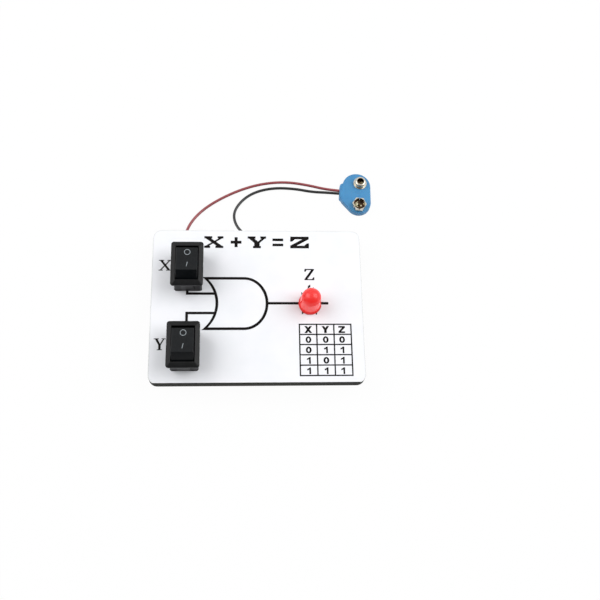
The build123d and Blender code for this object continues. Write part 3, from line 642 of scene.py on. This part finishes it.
def newFinish(name, grain, plain, dust=None, edgeShade=None, hollows=()):
    finish, tree, skin = newMaterial(name, plain)
    surface = useGroup(tree, grainGroup, **grain)
    color = surface["color"]
    if dust:
        color = useGroup(tree, dustGroup, color=color, **dust)["dusted"]
    if edgeShade:
        mask = useGroup(tree, edgeShadeGroup, band=edgeShade["band"])["mask"]
        # painted shade: the sheet greys towards its edge
        color = mixColors(tree, mask, color, edgeShade["tint"])
    for hollow in hollows:
        color = useGroup(tree, hollowGroup, color=color, **hollow)["shadedAndTarnished"]
    coverSkin(tree, skin, surface, color)
    return finish


finishes = {
    "board_core": dict(
        name="darkBoardCore",
        grain=dict(mainColor=shade(50, 50, 46), spotColor=shade(34, 34, 29), spotScale=700.0,
                   grainScale=3500.0, roughLow=0.75, roughHigh=0.95, bumpStrength=0.6,
                   bumpDepth=0.0001),
        plain={"Specular IOR Level": 0.25},
    ),
    "white_face": dict(
        name="whitePrintedSheet",
        grain=dict(mainColor=shade(241, 242, 246), spotColor=shade(237, 239, 243),
                   spotScale=90.0, grainScale=2600.0, roughLow=0.36, roughHigh=0.5,
                   bumpStrength=0.06, bumpDepth=0.00003),
        plain={"Specular IOR Level": 0.35},
        # painted shade along the sheet's rounded edge
        edgeShade=dict(band=0.0006, tint=shade(222, 224, 224)),
    ),
    "black_ink": dict(
        name="printedInk",
        grain=dict(mainColor=shade(8, 5, 5), spotColor=shade(16, 11, 11), spotScale=1800.0,
                   grainScale=6000.0, roughLow=0.5, roughHigh=0.7, bumpStrength=0.1,
                   bumpDepth=0.00002),
        plain={"Specular IOR Level": 0.1},
    ),
    "foot_rubber": dict(
        name="footRubber",
        grain=dict(mainColor=shade(34, 34, 35), spotColor=shade(44, 44, 44), spotScale=900.0,
                   grainScale=4000.0, roughLow=0.7, roughHigh=0.9, bumpStrength=0.4,
                   bumpDepth=0.00006),
        plain={"Specular IOR Level": 0.3},
    ),
    "switch_moulding": dict(
        name="satinSwitchBody",
        grain=dict(mainColor=shade(15, 16, 17), spotColor=shade(11, 12, 13), spotScale=300.0,
                   grainScale=5200.0, roughLow=0.34, roughHigh=0.5, bumpStrength=0.25,
                   bumpDepth=0.00002),
        plain={"Specular IOR Level": 0.21},
        dust=dict(dustColor=shade(110, 110, 110), amount=0.03),
    ),
    "rocker_moulding": dict(
        name="satinRocker",
        grain=dict(mainColor=shade(8, 12, 15), spotColor=shade(6, 9, 12), spotScale=260.0,
                   grainScale=5200.0, roughLow=0.3, roughHigh=0.46, bumpStrength=0.22,
                   bumpDepth=0.00002),
        plain={"Specular IOR Level": 0.2},
        dust=dict(dustColor=shade(110, 110, 110), amount=0.03),
    ),
    "plunger_nylon": dict(
        name="plungerNylon",
        grain=dict(mainColor=shade(226, 222, 208), spotColor=shade(216, 211, 196),
                   spotScale=800.0, grainScale=3000.0, roughLow=0.35, roughHigh=0.5,
                   bumpStrength=0.1, bumpDepth=0.00003),
        plain={},
    ),
    "spring_steel": dict(
        name="springSteel",
        grain=dict(mainColor=shade(176, 176, 178), spotColor=shade(150, 150, 152),
                   spotScale=1500.0, grainScale=6000.0, roughLow=0.22, roughHigh=0.36,
                   bumpStrength=0.1, bumpDepth=0.00002),
        plain={"Metallic": 1.0},
    ),
    "contact_brass": dict(
        name="stampedBrass",
        grain=dict(mainColor=shade(206, 176, 106), spotColor=shade(176, 142, 78),
                   spotScale=350.0, grainScale=4200.0, roughLow=0.24, roughHigh=0.42,
                   bumpStrength=0.15, bumpDepth=0.00002),
        plain={"Metallic": 1.0},
    ),
    "contact_silver": dict(
        name="contactSilver",
        grain=dict(mainColor=shade(226, 226, 222), spotColor=shade(204, 202, 196),
                   spotScale=900.0, grainScale=5000.0, roughLow=0.2, roughHigh=0.36,
                   bumpStrength=0.1, bumpDepth=0.00002),
        plain={"Metallic": 1.0},
    ),
    "tinned_steel": dict(
        name="tinnedSteel",
        grain=dict(mainColor=shade(206, 206, 204), spotColor=shade(180, 180, 178),
                   spotScale=700.0, grainScale=4200.0, roughLow=0.25, roughHigh=0.42,
                   bumpStrength=0.12, bumpDepth=0.00002),
        plain={"Metallic": 1.0},
    ),
    "lamp_chip": dict(
        name="lampChip",
        grain=dict(mainColor=shade(150, 60, 50), spotColor=shade(110, 50, 46),
                   spotScale=2500.0, grainScale=8000.0, roughLow=0.3, roughHigh=0.5,
                   bumpStrength=0.1, bumpDepth=0.00001),
        plain={},
    ),
    "solder": dict(
        name="brightSolder",
        grain=dict(mainColor=shade(200, 201, 203), spotColor=shade(166, 167, 170),
                   spotScale=900.0, grainScale=1700.0, roughLow=0.16, roughHigh=0.42,
                   bumpStrength=0.5, bumpDepth=0.00006),
        plain={"Metallic": 1.0},
    ),
    "red_wire_cover": dict(
        name="redWireCover",
        grain=dict(mainColor=shade(150, 66, 71), spotColor=shade(136, 57, 63), spotScale=600.0,
                   grainScale=3800.0, roughLow=0.28, roughHigh=0.42, bumpStrength=0.12,
                   bumpDepth=0.00002),
        plain={"Coat Weight": 0.15, "Coat Roughness": 0.25},
    ),
    "black_wire_cover": dict(
        name="blackWireCover",
        grain=dict(mainColor=shade(14, 14, 15), spotColor=shade(20, 20, 21), spotScale=600.0,
                   grainScale=3800.0, roughLow=0.28, roughHigh=0.42, bumpStrength=0.12,
                   bumpDepth=0.00002),
        plain={"Coat Weight": 0.15, "Coat Roughness": 0.25},
    ),
    "clip_blue": dict(
        name="softBlueVinyl",
        grain=dict(mainColor=shade(64, 138, 188), spotColor=shade(54, 127, 178),
                   spotScale=160.0, grainScale=3000.0, roughLow=0.38, roughHigh=0.55,
                   bumpStrength=0.2, bumpDepth=0.00004),
        plain={"Subsurface Weight": 0.08, "Subsurface Scale": 0.002},
    ),
    "clip_plate": dict(
        name="fibrePlate",
        grain=dict(mainColor=shade(40, 38, 36), spotColor=shade(60, 56, 52), spotScale=900.0,
                   grainScale=3000.0, roughLow=0.8, roughHigh=0.95, bumpStrength=0.4,
                   bumpDepth=0.00006),
        plain={},
    ),
    "nickel_plate": dict(
        name="brightNickel",
        grain=dict(mainColor=shade(214, 211, 202), spotColor=shade(190, 184, 168),
                   spotScale=420.0, grainScale=5200.0, roughLow=0.12, roughHigh=0.3,
                   bumpStrength=0.12, bumpDepth=0.00002),
        plain={"Metallic": 1.0},
        # painted shade, painted reflections and tarnish inside the two snap cups
        hollows=(
            dict(centreX=0.053353, centreY=0.069726, radius=0.00255, lip=0.00565),
            dict(centreX=0.052247, centreY=0.057074, radius=0.00298, lip=0.00565),
        ),
    ),
}
finishOf = {slot: newFinish(**values) for slot, values in finishes.items()}
markPaint = newFinish(
    "palePrintedMark",
    dict(mainColor=shade(150, 158, 162), spotColor=shade(130, 136, 140), spotScale=1600.0,
         grainScale=5000.0, roughLow=0.5, roughHigh=0.7, bumpStrength=0.1, bumpDepth=0.00001),
    {"Specular IOR Level": 0.3},
)

# diffused red lens: dark round the rim with painted shade, a body paled by painted light from the
# white sheet, then a deep red with an even painted glow up to the top
lens = {
    "foot": 0.01426, "top": 0.02786,
    "tintsWithPaintedLight": (
        (0.0, shade(112, 40, 40)), (0.06, shade(120, 44, 43)), (0.10, shade(152, 56, 52)),
        (0.62, shade(148, 38, 32)), (0.67, shade(150, 43, 40)), (1.0, shade(152, 42, 40)),
    ),
    "glowColor": shade(232, 34, 32), "footGlow": 0.34, "glow": 0.74, "fullGlowFrom": 0.16,
    "grain": dict(spotScale=220.0, grainScale=1800.0, roughLow=0.13, roughHigh=0.19,
                  bumpStrength=0.03, bumpDepth=0.00002),
    "plain": {
        "IOR": 1.5, "Specular IOR Level": 0.4, "Transmission Weight": 0.03,
        "Subsurface Weight": 0.3, "Subsurface Scale": 0.003,
        "Subsurface Radius": (1.0, 0.12, 0.1), "Emission Strength": 1.0,
    },
}
finishOf["red_lens"], tree, skin = newMaterial("diffusedRedLens", lens["plain"])
height = splitAxes(tree, objectPlace(tree))["Z"]
along = rescale(tree, height, {"From Min": lens["foot"], "From Max": lens["top"]})
# the ramp paints shade round the rim and light from the white sheet over the body
tint = rampColors(tree, along, lens["tintsWithPaintedLight"])
surface = useGroup(tree, grainGroup, mainColor=tint, spotColor=tint, **lens["grain"])
dim, bright = (
    [part * lens[share] for part in lens["glowColor"][:3]] + [1] for share in ("footGlow", "glow")
)
# painted glow: emission standing in for light passing through the unlit lens, weaker at the foot
risen = rescale(tree, along, {"From Max": lens["fullGlowFrom"]})
tree.links.new(mixColors(tree, risen, dim, bright), skin.inputs["Emission Color"])
coverSkin(tree, skin, surface, surface["color"])

# lacquered resistor with four bands along X
resistor = {
    "middle": 0.010, "half": 0.0032, "coat": shade(214, 190, 148),
    "bands": (
        (0.17, 0.23, shade(178, 52, 40)), (0.36, 0.41, shade(178, 52, 40)),
        (0.50, 0.55, shade(110, 66, 36)), (0.76, 0.81, shade(190, 150, 60)),
    ),
    "grain": dict(mainColor=shade(255, 255, 255), spotColor=shade(232, 228, 222),
                  spotScale=900.0, grainScale=3000.0, roughLow=0.25, roughHigh=0.4,
                  bumpStrength=0.12, bumpDepth=0.00003),
}
bandStops = [(0, resistor["coat"])]
for start, end, color in resistor["bands"]:
    bandStops += [(start, color), (end, resistor["coat"])]
finishOf["resistor_coat"], tree, skin = newMaterial("bandedResistor", {})
along = rescale(tree, splitAxes(tree, objectPlace(tree))["X"], {
    "From Min": resistor["middle"] - resistor["half"],
    "From Max": resistor["middle"] + resistor["half"],
})
banded = rampColors(tree, along, bandStops, "CONSTANT")
surface = useGroup(tree, grainGroup, **resistor["grain"])
color = mixColors(tree, 1, banded, surface["color"], "MULTIPLY")
coverSkin(tree, skin, surface, color)


def dress(obj, finish):
    obj.data.materials.clear()
    obj.data.materials.append(finish)


for node, obj in nodes.items():
    dress(obj, finishOf[slotOf[node]])
for node, piece in softened.items():
    dress(piece, finishOf[slotOf[node]])
for tint, piece in leadPieces.items():
    dress(piece, finishOf[f"{tint}_wire_cover"])
for piece in printed:
    dress(piece, finishOf["black_ink"])
for mark in markPieces:
    dress(mark, markPaint)
print("finishes on")

# pale floor that the camera and the gloss see as white, but for the object's shadow
floorPlan = {"half": 0.9, "shown": 0.965, "plain": {
    "Base Color": (0.9, 0.9, 0.9, 1), "Roughness": 0.9, "Specular IOR Level": 0.1,
}}
bpy.ops.mesh.primitive_plane_add(size=2 * floorPlan["half"], location=(0, 0, 0))
floor = bpy.context.object
floor.name = "studioFloor"
floorFinish, tree, skin = newMaterial("paleFloor", floorPlan["plain"])
path = addNode(tree, "LightPath").outputs
seen = calc(tree, "MAXIMUM", path["Is Camera Ray"], path["Is Glossy Ray"])
seen = calc(tree, "MAXIMUM", seen, path["Is Transmission Ray"])
seen = calc(tree, "MULTIPLY", seen, floorPlan["shown"])
white = addNode(tree, "Emission")
white.inputs["Strength"].default_value = 1
pale = mixShaders(tree, seen, skin.outputs["BSDF"], white.outputs["Emission"])
# clear from below, so that the wiring can be looked at
below = addNode(tree, "NewGeometry").outputs["Backfacing"]
clear = addNode(tree, "BsdfTransparent").outputs["BSDF"]
oneWay = mixShaders(tree, below, pale, clear)
tree.links.new(oneWay, tree.nodes["Material Output"].inputs["Surface"])
dress(floor, floorFinish)

# soft room light, darker towards the front, and white where camera and clear parts look out
room = {"level": 0.62, "frontShade": 0.08, "shadeFrom": -0.75, "shadeTo": -0.2}
world = bpy.data.worlds.new("paleRoom")
bpy.context.scene.world = world
world.use_nodes = True
tree = world.node_tree
sky = tree.nodes["Background"]
sky.inputs["Color"].default_value = (1, 1, 1, 1)
heading = splitAxes(tree, addNode(tree, "TexCoord").outputs["Generated"])
front = rescale(tree, heading["Y"], {
    "From Min": room["shadeFrom"], "From Max": room["shadeTo"], "To Min": room["frontShade"],
})
path = addNode(tree, "LightPath").outputs
level = rescale(tree, path["Is Glossy Ray"], {"To Min": room["level"]})
lit = calc(tree, "MULTIPLY", level, front)
through = calc(tree, "MAXIMUM", path["Is Camera Ray"], path["Is Transmission Ray"])
tree.links.new(rescale(tree, through, {"To Min": lit}), sky.inputs["Strength"])

# two softboxes at the sides
softboxes = (
    {"name": "leftBox", "place": (-0.55, 0.15, 0.6), "size": 0.66, "power": 3.38},
    {"name": "rightBox", "place": (0.6, 0.12, 0.62), "size": 0.66, "power": 4.12},
)
aimPoint = Vector((0.01, 0, 0.01))
for box in softboxes:
    bpy.ops.object.light_add(type="AREA", location=box["place"])
    lamp = bpy.context.object
    lamp.name = box["name"]
    lamp.data.size = box["size"]
    lamp.data.energy = box["power"]
    towards = aimPoint - Vector(box["place"])
    lamp.rotation_euler = towards.to_track_quat("-Z", "Y").to_euler()
bpy.context.scene.view_settings.view_transform = "Standard"
print("stage set")
